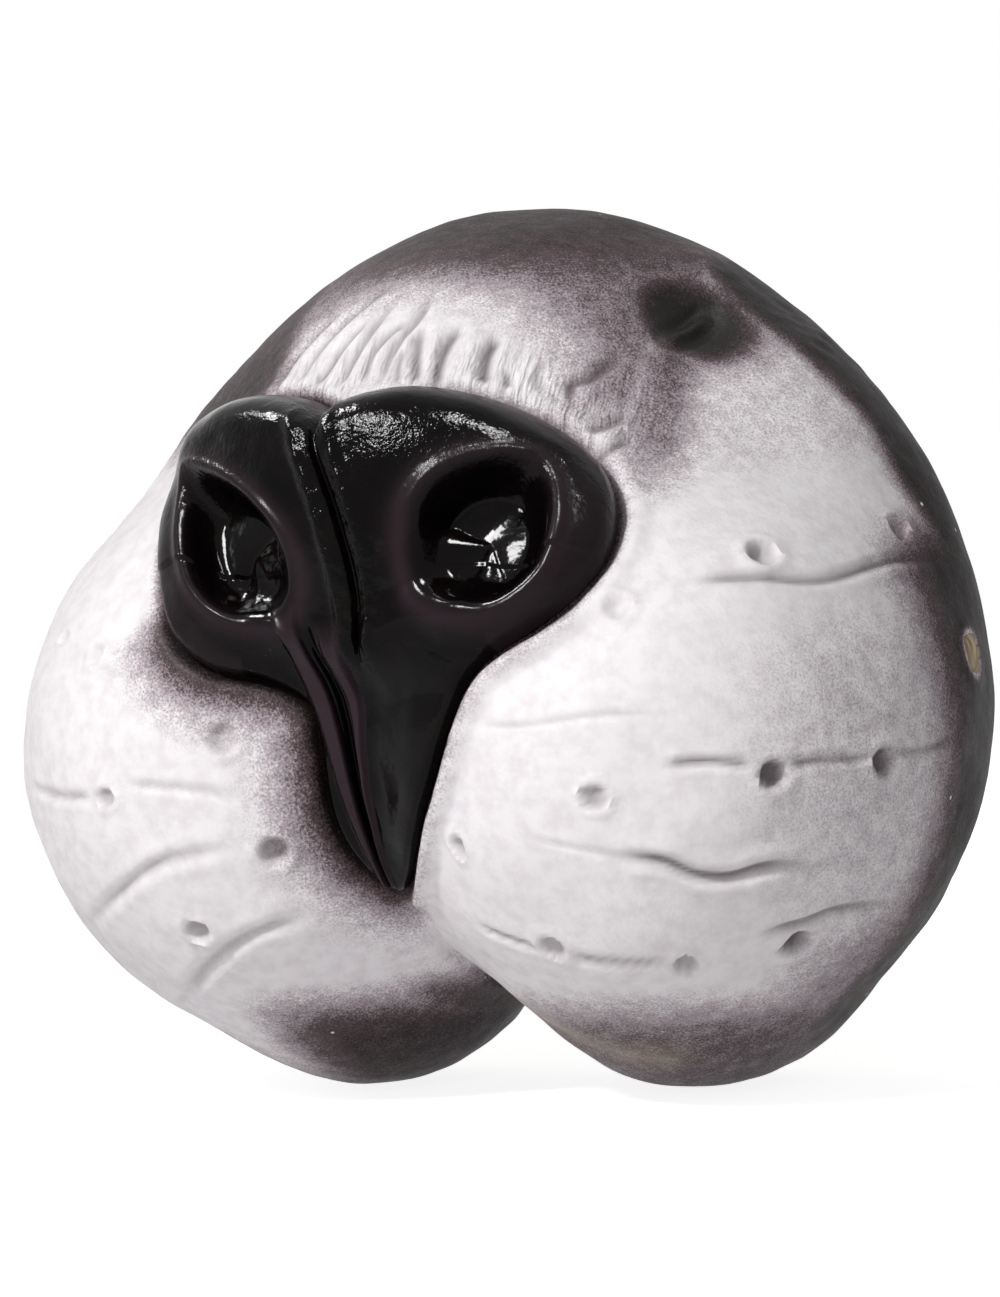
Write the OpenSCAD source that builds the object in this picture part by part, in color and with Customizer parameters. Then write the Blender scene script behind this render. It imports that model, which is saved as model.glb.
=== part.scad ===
// Animal snout half mask: a cast latex muzzle shell, open at the back, with a
// separately cast nose pad glued on its front and a strap hole in each cheek.
// Millimetres. +Z is up as worn, the nose looks along -Y, and the cut rim lies at y = 0.

/* [Overall] */
// Width across the cheeks
mask_width = 140; // [100:1:200]
// Height from the crown of the bridge to the bottom of the lips
mask_height = 126; // [90:1:180]
// Depth from the cut rim to the front of the lip pads
mask_depth = 78; // [55:1:120]
// Thickness of the latex wall
wall = 2; // [1:0.1:4]
// How softly the cast forms run into each other
blend = 4; // [2:0.5:6]

/* [Nose pad] */
// Width of the nose pad
nose_width = 69; // [40:1:84]
// Height of the nose pad, from its two crowns to the tip of the philtrum
nose_height = 69; // [40:1:84]
// Height of the nose pad's middle above the centre of the rim
nose_middle = 4; // [-10:0.5:15]
// How far the pad stands proud of the muzzle
nose_lift = 8; // [5:0.5:14]
// How far the philtrum, the pad's lower part, stands proud
philtrum_lift = 3.2; // [2.5:0.1:6]
// Thickness of the pad's free edge
nose_edge = 1.4; // [1:0.1:3]
// Wall of the hollow nose casting
nose_wall = 1.6; // [1:0.1:3]
// Distance between the centres of the nostrils
nostril_spacing = 36; // [20:1:50]
// Width of a nostril well
nostril_width = 18; // [8:0.5:24]
// Height of a nostril well
nostril_height = 17; // [8:0.5:24]
// Height of the nostrils above the pad's middle
nostril_rise = 6; // [0:0.5:12]
// Depth of a nostril well
nostril_depth = 5; // [1:0.5:6]
// Depth of the groove between the two halves of the nose
groove_depth = 2; // [0.5:0.25:4]
// Width of that groove
groove_width = 5; // [2:0.5:8]

/* [Strap holes] */
// Diameter of the punched hole for the head strap
strap_hole_d = 5.5; // [3:0.25:9]
// Distance of the hole's centre from the rim
strap_hole_from_rim = 20; // [12:0.5:35]
// Distance of the hole's centre below the middle of the rim
strap_hole_drop = 7; // [-15:0.5:25]
// Diameter of the reinforcing patch inside the cheek
patch_d = 22; // [14:1:30]
// Thickness of that patch
patch_thickness = 1; // [0.5:0.1:2]

/* [Fits] */
// Glue line between a piece and what it is stuck to
glue = 0.3; // [0.2:0.05:0.5]

/* [Hidden] */
// The forms of the muzzle, each a centre and three radii, drawn for this size
drawn_size = [140, 78, 126];
dome = [[0, -12, 14], [47, 52, 45]];
snout = [[0, -48, 8], [22, 20, 26]];
pad = [[30, -31, -17], [40, 47, 42]];
cheek = [[31, -15, -5], [34, 31, 45]];
lip = [[26, -20, -50], [20, 26, 17]];
// The nose pad's outline, right half, from the notch at the top to the tip
drawn_nose = [69, 69];
drawn_nose_edge = [
    [0, 27], [4, 29], [11, 30], [19, 28.5], [26, 25], [31.5, 19], [34.5, 11], [34, 4], [31, -2],
    [26, -6], [20, -9], [15.5, -12.5], [12.5, -18.5], [10, -25], [6.5, -32], [3, -37], [0, -39],
];

stretch = [mask_width / drawn_size[0], mask_depth / drawn_size[1], mask_height / drawn_size[2]];
// The point inside the mask from which the wall is drawn outwards
heart = [0, -34 * stretch[1], 0];
reach = mask_width + mask_height + mask_depth;
halvings = 20;
rings = 26;
spokes = 60;
nose_rings = 9;
nose_steps = 2;
core_rings = 7;
patch_rings = 3;
patch_spokes = 24;
nose_roundness = 5;
// The sideways lean of the hand-made nose, as pairs of height above its middle and shift
nose_lean = [[-39, 0], [-30, 0], [-21, 2], [-12, 3.5], [-4, 4], [3, 3.5], [10, 2], [21, -2.5], [30, -4]];
// The pad's lift falls to the philtrum's between these heights, above the pad's middle
lobe_foot = -3;
philtrum_top = -13;
// The foam stops inside the lobes of the nose
core_share = 0.94;
core_drop = 9;
core_clearance = 0.9;
// The foam left under a nostril well, at least
core_film = 0.3;
round_fn = 48;

// ---- the cast surface: a smooth union of the forms ----
function times(a, b) = [for (i = [0:2]) a[i] * b[i]];
function over(a, b) = [for (i = [0:2]) a[i] / b[i]];
function unit(a) = a / norm(a);
function other_side(form) = [times(form[0], [-1, 1, 1]), form[1]];
forms = [
    for (f = [dome, snout, pad, other_side(pad), cheek, other_side(cheek), lip, other_side(lip)])
        [times(f[0], stretch), times(f[1], stretch)]
];
// Signed height over one form, and the pull of that form on the blend
function height_over(p, f) = (norm(over(p - f[0], f[1])) - 1) * min(f[1]);
function pulls(p) = [for (f = forms) exp(-height_over(p, f) / blend)];
function total(list) = list * [for (x = list) 1];
function field(p) = -blend * ln(total(pulls(p)));
function slope_of(p, f) = let (q = over(p - f[0], f[1])) over(q, f[1]) * min(f[1]) / norm(q);
function normal(p) = let (w = pulls(p)) unit(w * [for (f = forms) slope_of(p, f)]);
// Where a line from a point inside the mask leaves the cast surface
function leave(from, dir, near, far, n) =
    let (mid = (near + far) / 2)
    n == 0 ? from + dir * mid
    : field(from + dir * mid) < 0 ? leave(from, dir, mid, far, n - 1)
    : leave(from, dir, near, mid, n - 1);
function outward(from, dir) = leave(from, dir, 0, reach, halvings);

// ---- a solid between two grids of rings that share a middle point ----
function flatten(lists) = [for (l = lists) each l];
function grid_points(grid) = concat([grid[0][0]], flatten([for (i = [1:len(grid) - 1]) grid[i]]));
function cap(n, k, start, flip) = [
    for (j = [0:k - 1])
        let (a = start + 1 + j, b = start + 1 + (j + 1) % k)
        flip ? [start, b, a] : [start, a, b]
];
// The diagonals of one half mirror those of the other
function skin(n, k, start, flip) = [
    for (i = [0:n - 3], j = [0:k - 1])
        let (
            a = start + 1 + i * k + j,
            b = start + 1 + i * k + (j + 1) % k,
            c = b + k,
            d = a + k,
            pair = j < k / 2 ? [[a, b, c], [a, c, d]] : [[a, b, d], [b, c, d]]
        )
        for (t = pair) flip ? t : [t[0], t[2], t[1]]
];
function border(n, k, start) = [
    for (j = [0:k - 1])
        let (
            a = 1 + (n - 2) * k + j,
            b = 1 + (n - 2) * k + (j + 1) % k
        )
        each [[a, start + b, b], [a, start + a, start + b]]
];
module between(over_grid, under_grid) {
    n = len(over_grid);
    k = len(over_grid[1]);
    start = len(grid_points(over_grid));
    polyhedron(
        points = concat(grid_points(over_grid), grid_points(under_grid)),
        faces = concat(
            cap(n, k, 0, false), skin(n, k, 0, false),
            cap(n, k, start, true), skin(n, k, start, true),
            border(n, k, start)
        ),
        convexity = 8
    );
}

// ---- muzzle shell ----
function rim_point(turn) = outward([0, 0, 0], [cos(turn), 0, sin(turn)]);
function sweep_of(turn) = 180 - atan2(norm(rim_point(turn)), -heart[1]);
function cast_point(turn, share) =
    share == 1 ? rim_point(turn)
    : let (a = share * sweep_of(turn)) outward(heart, [sin(a) * cos(turn), -cos(a), sin(a) * sin(turn)]);
function flat_part(v) = [v[0], 0, v[2]];
function inset(p, share, depth) =
    let (n = normal(p), f = flat_part(n))
    share == 1 ? p - f * depth / (f * f) : p - n * depth;
cast = [for (i = [0:rings]) [for (j = [0:spokes - 1]) cast_point(j * 360 / spokes - 90, i / rings)]];
lining = [for (i = [0:rings]) [for (p = cast[i]) inset(p, i / rings, wall)]];

// ---- strap holes, along X through each cheek ----
strap_at = [0, -strap_hole_from_rim, -strap_hole_drop];
module strap_hole(side) {
    translate(strap_at)
        rotate([0, side * 90, 0])
            translate([0, 0, mask_width / 4])
                cylinder(h = mask_width / 2, d = strap_hole_d, $fn = round_fn);
}
module muzzle_shell() {
    color("gainsboro")
        difference() {
            between(cast, lining);
            strap_hole(1);
            strap_hole(-1);
        }
}

// ---- nose pad and the foam that fills it ----
nose_scale = [nose_width / drawn_nose[0], nose_height / drawn_nose[1]];
half = [for (p = drawn_nose_edge) [p[0] * nose_scale[0], p[1] * nose_scale[1]]];
last = len(half) - 1;
edge = concat(half, [for (i = [last - 1:-1:1]) [-half[i][0], half[i][1]]]);
function bend(a, b, c, d, t) =
    (2 * b + (c - a) * t + (2 * a - 5 * b + 4 * c - d) * t * t + (3 * b - a - 3 * c + d) * t * t * t) / 2;
nose_edge_line = [
    for (i = [0:len(edge) - 1], s = [0:nose_steps - 1])
        let (m = len(edge))
        bend(edge[(i + m - 1) % m], edge[i], edge[(i + 1) % m], edge[(i + 2) % m], s / nose_steps)
];
function well(q, side) =
    exp(-pow(norm([
        (q[0] - side * nostril_spacing / 2) / nostril_width,
        (q[1] - nostril_rise) / nostril_height
    ]) * 2, 4));
function eased(t) = let (c = min(1, max(0, t))) c * c * (3 - 2 * c);
function lift_at(z) =
    philtrum_lift
    + (nose_lift - philtrum_lift) * eased((z - philtrum_top) / (lobe_foot - philtrum_top));
function rise(q, share) =
    let (
        body = lift_at(q[1]) - nose_edge,
        pit = min(nostril_depth, nose_lift - nose_wall - core_clearance - core_film) * (well(q, 1) + well(q, -1)),
        groove = groove_depth * exp(-pow(q[0] * 2 / groove_width, 2)),
        dome_share = sqrt(1 - pow(share, nose_roundness))
    )
    nose_edge + (body - min(pit + groove, nostril_depth, body / 2 + pit)) * dome_share;
function seat(q) =
    outward([q[0] + lookup(q[1], nose_lean), heart[1], q[1] + nose_middle], [0, -1, 0]);
function nose_spot(q, share) = let (p = seat(q)) [p, normal(p), rise(q, share)];
function nose_grid(upto) = [
    for (i = [0:upto])
        let (share = sin(90 * i / nose_rings))
        [for (e = nose_edge_line) nose_spot(e * share, share)]
];
function core_reach(e) = min(core_share, core_drop / max(core_drop, -e[1]));
function core_grid(upto) = [
    for (i = [0:upto])
        [for (e = nose_edge_line)
            let (share = core_reach(e) * sin(90 * i / upto))
            nose_spot(e * share, share)]
];
// The muzzle under the pad, raised by the glue line and by what is left of the pad's height
function raised(grid, below) = [for (r = grid) [for (g = r) g[0] + g[1] * (glue + max(0, g[2] - below))]];
function seated(grid) = [for (r = grid) [for (g = r) g[0] + g[1] * glue]];
module nose_pad() {
    grid = nose_grid(nose_rings);
    color("dimgray")
        between(raised(grid, 0), raised(grid, nose_wall));
}
module nose_core() {
    grid = core_grid(core_rings);
    color("tan")
        between(raised(grid, nose_wall + core_clearance), seated(grid));
}

// ---- reinforcing patches, inside the cheeks, around the strap holes ----
function cheek_point(y, z, side) =
    outward([side * pad[0][0] * stretch[0], y, z], [side, 0, 0]);
function patch_grid(side, depth) = [
    for (i = [0:patch_rings])
        [for (j = [0:patch_spokes - 1])
            let (
                r = patch_d / 2 * i / patch_rings,
                turn = -side * j * 360 / patch_spokes,
                p = cheek_point(strap_at[1] + r * cos(turn), strap_at[2] + r * sin(turn), side)
            )
            p - normal(p) * depth]
];
module strap_patch(side) {
    difference() {
        between(
            patch_grid(side, wall + glue),
            patch_grid(side, wall + glue + patch_thickness)
        );
        strap_hole(side);
    }
}
module strap_patch_right() {
    color("burlywood")
        strap_patch(1);
}
module strap_patch_left() {
    color("burlywood")
        strap_patch(-1);
}

muzzle_shell();
nose_pad();
nose_core();
strap_patch_left();
strap_patch_right();
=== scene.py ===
import math

import bpy
import numpy as np
from bpy.props import FloatProperty, FloatVectorProperty, IntProperty, PointerProperty
from mathutils import Matrix, Vector


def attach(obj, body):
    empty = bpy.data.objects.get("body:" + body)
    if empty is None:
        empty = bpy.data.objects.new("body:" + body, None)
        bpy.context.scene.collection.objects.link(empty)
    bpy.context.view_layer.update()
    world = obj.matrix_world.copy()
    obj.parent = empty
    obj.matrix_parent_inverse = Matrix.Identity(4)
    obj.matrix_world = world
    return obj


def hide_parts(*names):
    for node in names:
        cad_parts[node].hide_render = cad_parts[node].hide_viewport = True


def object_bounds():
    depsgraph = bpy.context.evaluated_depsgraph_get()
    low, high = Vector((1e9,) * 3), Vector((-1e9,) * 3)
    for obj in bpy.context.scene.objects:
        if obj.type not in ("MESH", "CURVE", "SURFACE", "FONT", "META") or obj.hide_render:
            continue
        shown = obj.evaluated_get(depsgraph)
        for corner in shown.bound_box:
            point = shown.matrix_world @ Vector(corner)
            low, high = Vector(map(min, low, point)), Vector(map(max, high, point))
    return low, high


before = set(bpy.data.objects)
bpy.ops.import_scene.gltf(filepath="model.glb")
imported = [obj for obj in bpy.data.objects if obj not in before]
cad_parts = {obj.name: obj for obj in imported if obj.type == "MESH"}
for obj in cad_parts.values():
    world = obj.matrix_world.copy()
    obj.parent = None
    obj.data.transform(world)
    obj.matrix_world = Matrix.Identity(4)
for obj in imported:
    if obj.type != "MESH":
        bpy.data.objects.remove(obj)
CAD_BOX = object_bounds()

bl_info = {
    "name": "Animal Snout Half Mask",
    "version": (1, 0, 0),
    "blender": (4, 5, 0),
    "location": "3D View > Sidebar > Snout",
    "description": "Sculpts a cast latex snout mask: muzzle, nose, strap patches and their finishes",
    "category": "Mesh",
}

MM = 0.001
CUTTER_LENGTH = 40  # long enough for any wall, too short to reach the other cheek

# ---- drawn forms, in millimetres, for a muzzle of this width, depth and height ----

DRAWN_SIZE = np.array([140.0, 78.0, 126.0])
DOME = ((0, -12, 14), (47, 52, 45))
SNOUT = ((0, -48, 8), (22, 20, 26))
PAD = ((30, -31, -17), (40, 47, 42))
CHEEK = ((31, -15, -5), (34, 31, 45))
LIP = ((26, -20, -50), (20, 26, 17))
HEART = np.array([0.0, -34.0, 0.0])

# Outline of the nose about its middle: right side from the top notch to the philtrum's tip, and
# the left side back up, since the hand-made lobes aren't a pair
NOSE_RIGHT = (
    (0, 25.5), (4, 27.5), (11, 28.5), (19, 27), (26, 23.5), (31.5, 18), (34.5, 11.5), (34, 5.5),
    (30.5, 0.5), (25.5, -3.5), (20, -6.5), (16, -10), (13.5, -16), (11, -24), (7, -32), (3.2, -37),
    (0, -39),
)
NOSE_LEFT = (
    (-3, -37), (-5.5, -32), (-7.5, -25), (-9, -18.5), (-11, -13), (-17, -9.5), (-25, -7.5), (-31, -3),
    (-34, 4), (-34.5, 11), (-31.5, 18.5), (-26, 24), (-19, 27.5), (-11, 28.5), (-4, 27.5),
)
# The hand-made nose leans: height above its middle, sideways shift
NOSE_LEAN = (
    (-39, 0), (-30, 0), (-21, 2), (-12, 3.5), (-4, 4), (3, 3.5), (10, 2), (21, -2.5), (30, -4),
)

# Whisker pits: place near the skin, radius, depth, darkness of the painted shade in the pit
WHISKER_PITS = (
    ((-19, -76, -13), 2.3, 1.3, 0.35), ((-14, -72, -29), 2.3, 1.5, 0.6),
    ((-28, -70, -40), 2.0, 1.2, 0.5), ((-38, -77, -21), 1.6, 1.0, 0.45),
    ((-41, -73, -1), 1.6, 0.7, 0.2), ((-50, -67, 1), 1.4, 0.8, 0.3),
    ((40, -71, 3), 1.8, 0.6, 0.15), ((54, -55, 9), 2.3, 1.6, 0.5),
    ((63, -29, 11), 2.1, 1.8, 0.1), ((38, -77, -22), 1.9, 0.9, 0.5),
    ((58, -64, -20), 2.2, 1.8, 0.9), ((68, -48, -20), 2.2, 1.7, 0.9),
    ((15, -73, -29), 1.7, 1.1, 0.45), ((26, -68, -43), 2.1, 0.8, 0.5),
    ((43, -62, -46), 1.9, 0.9, 0.55), ((55, -52, -44), 2.4, 1.6, 0.9),
)

# Creases in the pads: points near the skin, half width, depth, darkness of the painted shade along it
CREASES = (
    (((47, -65, 6), (55, -59, 6), (61, -49, 5), (65, -34, 7), (67, -19, 6)), 0.8, 0.8, 0.6),
    (((21, -77, -12), (29, -78, -12), (39, -77, -11), (47, -73, -11)), 0.5, 0.35, 0.25),
    (((47, -74, -18), (53, -70, -18), (57, -66, -19)), 0.7, 0.9, 0.6),
    (((60, -63, -19), (64, -57, -19), (67, -49, -19)), 0.7, 0.6, 0.5),
    (((69, -46, -19), (70, -38, -19), (71, -30, -18)), 0.7, 0.5, 0.5),
    (((28, -77, -27), (35, -76, -29), (39, -75, -30)), 0.5, 0.3, 0.15),
    (((39, -75, -30), (45, -72, -31), (48, -69, -33), (52, -66, -34), (57, -62, -33), (61, -55, -33)),
     0.9, 1.3, 0.75),
    (((14, -66, -40), (19, -67, -42), (24, -67, -43)), 0.7, 0.7, 0.45),
    (((28, -67, -44), (35, -66, -45), (42, -63, -45)), 1.0, 0.45, 0.42),
    (((52, -58, -42), (57, -53, -41), (61, -48, -40), (64, -36, -40)), 0.9, 0.9, 0.6),
    (((-58, -65, -20), (-48, -73, -21), (-40, -77, -21)), 0.7, 0.8, 0.35),
    (((-34, -78, -19), (-25, -78, -20), (-17, -75, -21)), 0.6, 0.6, 0.3),
    (((-50, -63, -40), (-38, -73, -34), (-29, -76, -30), (-17, -74, -28)), 0.9, 0.9, 0.3),
    (((-43, -52, -53), (-31, -65, -47), (-21, -68, -41), (-12, -66, -38)), 1.0, 1.0, 0.4),
    (((-49, -68, 1), (-39, -74, -3), (-30, -76, -5)), 0.5, 0.3, 0.12),
)

# Wrinkles that fan out of the nose over the bridge, listed like the creases, with painted shade along
# each
WRINKLES = (
    (((-20, -56, 33), (-19, -52, 38), (-16, -50, 42), (-13, -48, 45)), 0.9, 0.9, 0.5),
    (((-15, -57, 34), (-14, -54, 38), (-12, -52, 42), (-8, -48, 46), (-5, -44, 50)), 0.8, 0.9, 0.5),
    (((-11, -59, 34), (-10, -57, 38), (-8, -54, 42), (-6, -52, 44)), 0.8, 1.0, 0.55),
    (((-7, -60, 34), (-6, -57, 38), (-5, -54, 41), (-3, -48, 47)), 0.8, 1.0, 0.5),
    (((-3, -60, 34), (-3, -57, 38), (-1, -54, 42), (1, -53, 43)), 0.7, 0.9, 0.5),
    (((0, -61, 34), (0, -57, 38), (1, -54, 41), (2, -51, 44), (2, -46, 48)), 0.8, 1.1, 0.5),
    (((3, -61, 34), (2, -59, 37), (2, -57, 40)), 0.7, 0.8, 0.5),
    (((6, -61, 34), (4, -57, 38), (3, -53, 42)), 0.9, 1.2, 0.6),
    (((9, -61, 33), (8, -58, 37), (8, -55, 40), (9, -52, 43)), 1.0, 1.2, 0.65),
    (((15, -58, 33), (14, -56, 36), (14, -54, 39), (15, -52, 41)), 1.0, 1.4, 0.7),
    (((18, -57, 33), (17, -55, 36)), 0.8, 0.7, 0.4),
    (((22, -55, 32), (21, -53, 35), (21, -51, 37)), 0.8, 0.6, 0.3),
    (((25, -53, 30), (25, -51, 33), (27, -49, 34), (28, -47, 35), (30, -44, 37)), 0.8, 1.3, 0.7),
    (((28, -54, 26), (30, -52, 27), (33, -49, 29)), 0.7, 1.0, 0.5),
    (((30, -56, 22), (32, -53, 24), (34, -51, 26)), 0.7, 0.8, 0.5),
)

# The fold between the pads, from the philtrum's tip down to the cleft
CLEFT_FOLD = ((0, -61, -35), (0, -54, -42), (0, -44, -48), (0, -34, -52), (0, -20, -54))
FOLD_TOP = (0, -58, -40)
# The scar-like slash in the dark hollow beside the bridge
SLASH = ((33, -36, 39), (35, -31, 42), (36, -27, 44))
HOLLOW = (35, -30, 43)

# Where the airbrush went and where shade is painted: lines and places that the mist and the painted shade
# follow or keep clear of
HOLLOW_TAIL = (HOLLOW, (36, -22, 49), (34, -12, 52))
VALLEY = ((36, -52, 14), (35, -48, 22), (34, -42, 31), (34, -34, 42))
BELOW_TIP = (-3, -62, -36)
BRIGHT_BRIDGE = ((-13, -57, 35), (-3, -55, 39), (8, -55, 38), (15, -56, 34))
BLACK_BAND = ((38, -9, 46), (48, -11, 37), (58, -10, 25), (65, -9, 13), (70, 7, 0), (70, 9, -18))
# Paint worn thin under the right lip, and skin drawn into fine folds along the top of the nose
THIN_PAINT = ((12, -48, -57), (20, -46, -60), (30, -44, -61))
DRAWN_SKIN = ((-18, -57, 34), (0, -61, 34), (18, -57, 33), (30, -52, 25))

# Philtrum folds and the groove between them, as (x, z) on the front of the mask
FOLD_LEFT = ((-7.5, 7), (-7.2, 0), (-6.2, -6), (-4.8, -13), (-3.6, -22), (-1.6, -33))
FOLD_RIGHT = ((-0.4, 4), (-0.2, -3), (0.6, -12), (0.6, -22), (0.2, -33))
FOLD_GROOVE = ((-3.9, 4), (-3.4, -4), (-2.2, -12), (-1.5, -22), (-0.6, -34))


# ---- the cast surface: a smooth union of the drawn forms ----

def cast_forms(size):
    """Centres and radii of the muzzle's forms, stretched to a size in millimetres."""
    sides = [DOME, SNOUT]
    for (x, y, z), radii in (PAD, CHEEK, LIP):
        sides += [((x, y, z), radii), ((-x, y, z), radii)]
    stretch = size / DRAWN_SIZE
    centres = np.array([c for c, _ in sides], float) * stretch
    radii = np.array([r for _, r in sides], float) * stretch
    return centres, radii


class Cast:
    """The smooth outside of the muzzle before any detail is pressed into it, in millimetres."""

    def __init__(self, size, blend):
        self.centres, self.radii = cast_forms(size)
        self.blend = blend
        self.heart = HEART * size / DRAWN_SIZE

    def heights(self, points):
        total = np.zeros(len(points))
        for centre, radii in zip(self.centres, self.radii):
            over = np.linalg.norm((points - centre) / radii, axis=1) - 1
            total += np.exp(-over * radii.min() / self.blend)
        return -self.blend * np.log(total)

    def normals(self, points):
        pull = np.zeros_like(points)
        for centre, radii in zip(self.centres, self.radii):
            offset = (points - centre) / radii
            length = np.maximum(np.linalg.norm(offset, axis=1, keepdims=True), 1e-9)
            weight = np.exp(-(length - 1) * radii.min() / self.blend)
            pull += weight * offset / radii * radii.min() / length
        return unit(pull)

    def outward(self, start, direction, reach=150.0, halvings=22):
        """Where lines from points inside the mask leave the cast surface."""
        near = np.zeros(len(direction))
        far = np.full(len(direction), reach)
        for _ in range(halvings):
            middle = (near + far) / 2
            inside = self.heights(start + direction * middle[:, None]) < 0
            near = np.where(inside, middle, near)
            far = np.where(inside, far, middle)
        return start + direction * ((near + far) / 2)[:, None]

    def on_skin(self, places):
        """The named places, moved onto the cast surface along lines from its heart."""
        places = np.atleast_2d(np.array(places, float))
        return self.outward(self.heart, unit(places - self.heart))

    def wrap(self, share, turn):
        """Points of the wall: share runs from the front, 0, to the rim, 1, and turn goes round."""
        round_the_rim = np.stack([np.cos(turn), 0 * turn, np.sin(turn)], axis=1)
        rim = self.outward(np.zeros(3), round_the_rim)
        sweep = math.pi - np.arctan2(np.linalg.norm(rim, axis=1), -self.heart[1])
        angle = np.arccos(1 - (1 - np.cos(sweep)) * share ** 2)
        direction = np.stack(
            [np.sin(angle) * np.cos(turn), -np.cos(angle), np.sin(angle) * np.sin(turn)], axis=1
        )
        points = self.outward(self.heart, direction)
        at_rim = share > 1 - 1e-6
        points[at_rim] = rim[at_rim]
        return points, at_rim

    def seat(self, across, up):
        """The front of the muzzle under points given across and up, seen from the front."""
        start = np.stack([across, np.full_like(across, self.heart[1]), up], axis=1)
        return self.outward(start, np.tile([0.0, -1.0, 0.0], (len(across), 1)))


def unit(vectors):
    return vectors / np.maximum(np.linalg.norm(vectors, axis=1, keepdims=True), 1e-12)


def eased(value):
    value = np.clip(value, 0, 1)
    return value * value * (3 - 2 * value)


def bump(value, width):
    return np.exp(-(value / width) ** 2)


def away_from(points, place):
    return np.linalg.norm(points - np.array(place), axis=1)


def smooth_line(points, steps=12):
    """A Catmull-Rom curve through the points."""
    points = np.array(points, float)
    ends = np.vstack([2 * points[0] - points[1], points, 2 * points[-1] - points[-2]])
    t = np.linspace(0, 1, steps, endpoint=False)[:, None]
    parts = []
    for a, b, c, d in zip(ends, ends[1:], ends[2:], ends[3:]):
        parts.append(
            (2 * b + (c - a) * t + (2 * a - 5 * b + 4 * c - d) * t ** 2
             + (3 * b - a - 3 * c + d) * t ** 3) / 2
        )
    return np.vstack(parts + [points[-1:]])


def line_distance(points, line, near=7.0):
    """Distance to a line and how far along it, 0 to 1, for the points close to it."""
    distance = np.full(len(points), 99.0)
    along = np.zeros(len(points))
    low, high = line.min(0) - near, line.max(0) + near
    close = np.all((points > low) & (points < high), axis=1)
    if close.any():
        chosen = points[close]
        best = np.full(len(chosen), 1e9)
        place = np.zeros(len(chosen))
        for i, (a, b) in enumerate(zip(line, line[1:])):
            ab = b - a
            t = np.clip((chosen - a) @ ab / max(ab @ ab, 1e-12), 0, 1)
            d = np.linalg.norm(chosen - a - t[:, None] * ab, axis=1)
            nearer = d < best
            best[nearer] = d[nearer]
            place[nearer] = (i + t[nearer]) / (len(line) - 1)
        distance[close], along[close] = best, place
    return distance, along


def off_line(points, line, near=7.0):
    """Distance to a smooth line through a few places."""
    return line_distance(points, smooth_line(line), near)[0]


def disc_share(flat):
    """Share and turn on a disc for points of a square from -1 to 1, without crowding the middle."""
    x, y = flat[:, 0], flat[:, 1]
    wide = np.abs(x) > np.abs(y)
    share = np.where(wide, x, y)
    other = np.where(wide, y, x)
    safe = np.where(np.abs(share) < 1e-9, 1, share)
    quarter = math.pi / 4 * other / safe
    turn = np.where(wide, quarter, math.pi / 2 - quarter)
    turn = np.where(share < 0, turn + math.pi, turn)
    return np.abs(share), turn % (2 * math.pi)


def lumps(points, size, seed=0):
    """Soft seeded noise between -1 and 1 with lumps of about this size."""
    rng = np.random.default_rng(seed)
    value = np.zeros(len(points))
    for _ in range(14):
        wave = unit(rng.normal(size=(1, 3)))[0] * rng.uniform(0.6, 1.5) * math.pi / size
        value += np.sin(points @ wave + rng.uniform(0, 2 * math.pi))
    return value / 5


# ---- nose shape, shared by the muzzle's bed and the nose itself ----

def nose_outline():
    """The nose's closed outline about its middle, as an even curve."""
    closed = [*NOSE_RIGHT, *NOSE_LEFT]
    ring = smooth_line([closed[-1]] + closed + closed[:2], steps=8)
    return ring[8:-9]


def lean(up):
    heights, shifts = zip(*NOSE_LEAN)
    fine = np.linspace(heights[0], heights[-1], 70)
    table = np.interp(fine, heights, shifts)
    kernel = np.ones(9) / 9
    soft = np.convolve(np.pad(table, 4, mode="edge"), kernel, mode="valid")
    return np.interp(up, fine, soft)


def outline_distance(across, up, middle):
    """Signed distance from the leaned nose outline, negative inside."""
    ring = nose_outline()
    ring = np.stack([ring[:, 0] + lean(ring[:, 1]), ring[:, 1] + middle], axis=1)
    closed = np.vstack([ring, ring[:1]])
    points = np.stack([across, up], axis=1)
    distance, _ = line_distance(points, closed, near=26.0)
    inside = np.zeros(len(points), bool)
    for a, b in zip(closed, closed[1:]):
        crosses = (a[1] > up) != (b[1] > up)
        rise = b[1] - a[1] if abs(b[1] - a[1]) > 1e-9 else 1e-9
        inside ^= crosses & (across < (b[0] - a[0]) * (up - a[1]) / rise + a[0])
    return np.where(inside, -distance, distance)


# ---- mesh helpers ----

def deselect():
    if bpy.context.object and bpy.context.object.mode != "OBJECT":
        bpy.ops.object.mode_set(mode="OBJECT")
    bpy.ops.object.select_all(action="DESELECT")


def make_active(piece):
    deselect()
    piece.select_set(True)
    bpy.context.view_layer.objects.active = piece


def read_points(piece):
    flat = np.empty(len(piece.data.vertices) * 3)
    piece.data.vertices.foreach_get("co", flat)
    return flat.reshape(-1, 3)


def write_points(piece, points):
    piece.data.vertices.foreach_set("co", np.ascontiguousarray(points).ravel())
    piece.data.update()


def sheet_of(name, cells):
    """A flat square sheet of cells, two units wide, ready to be wrapped."""
    deselect()
    bpy.ops.mesh.primitive_grid_add(x_subdivisions=cells, y_subdivisions=cells, size=2)
    piece = bpy.context.object
    piece.name = name
    piece.data.name = name
    return piece


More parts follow.
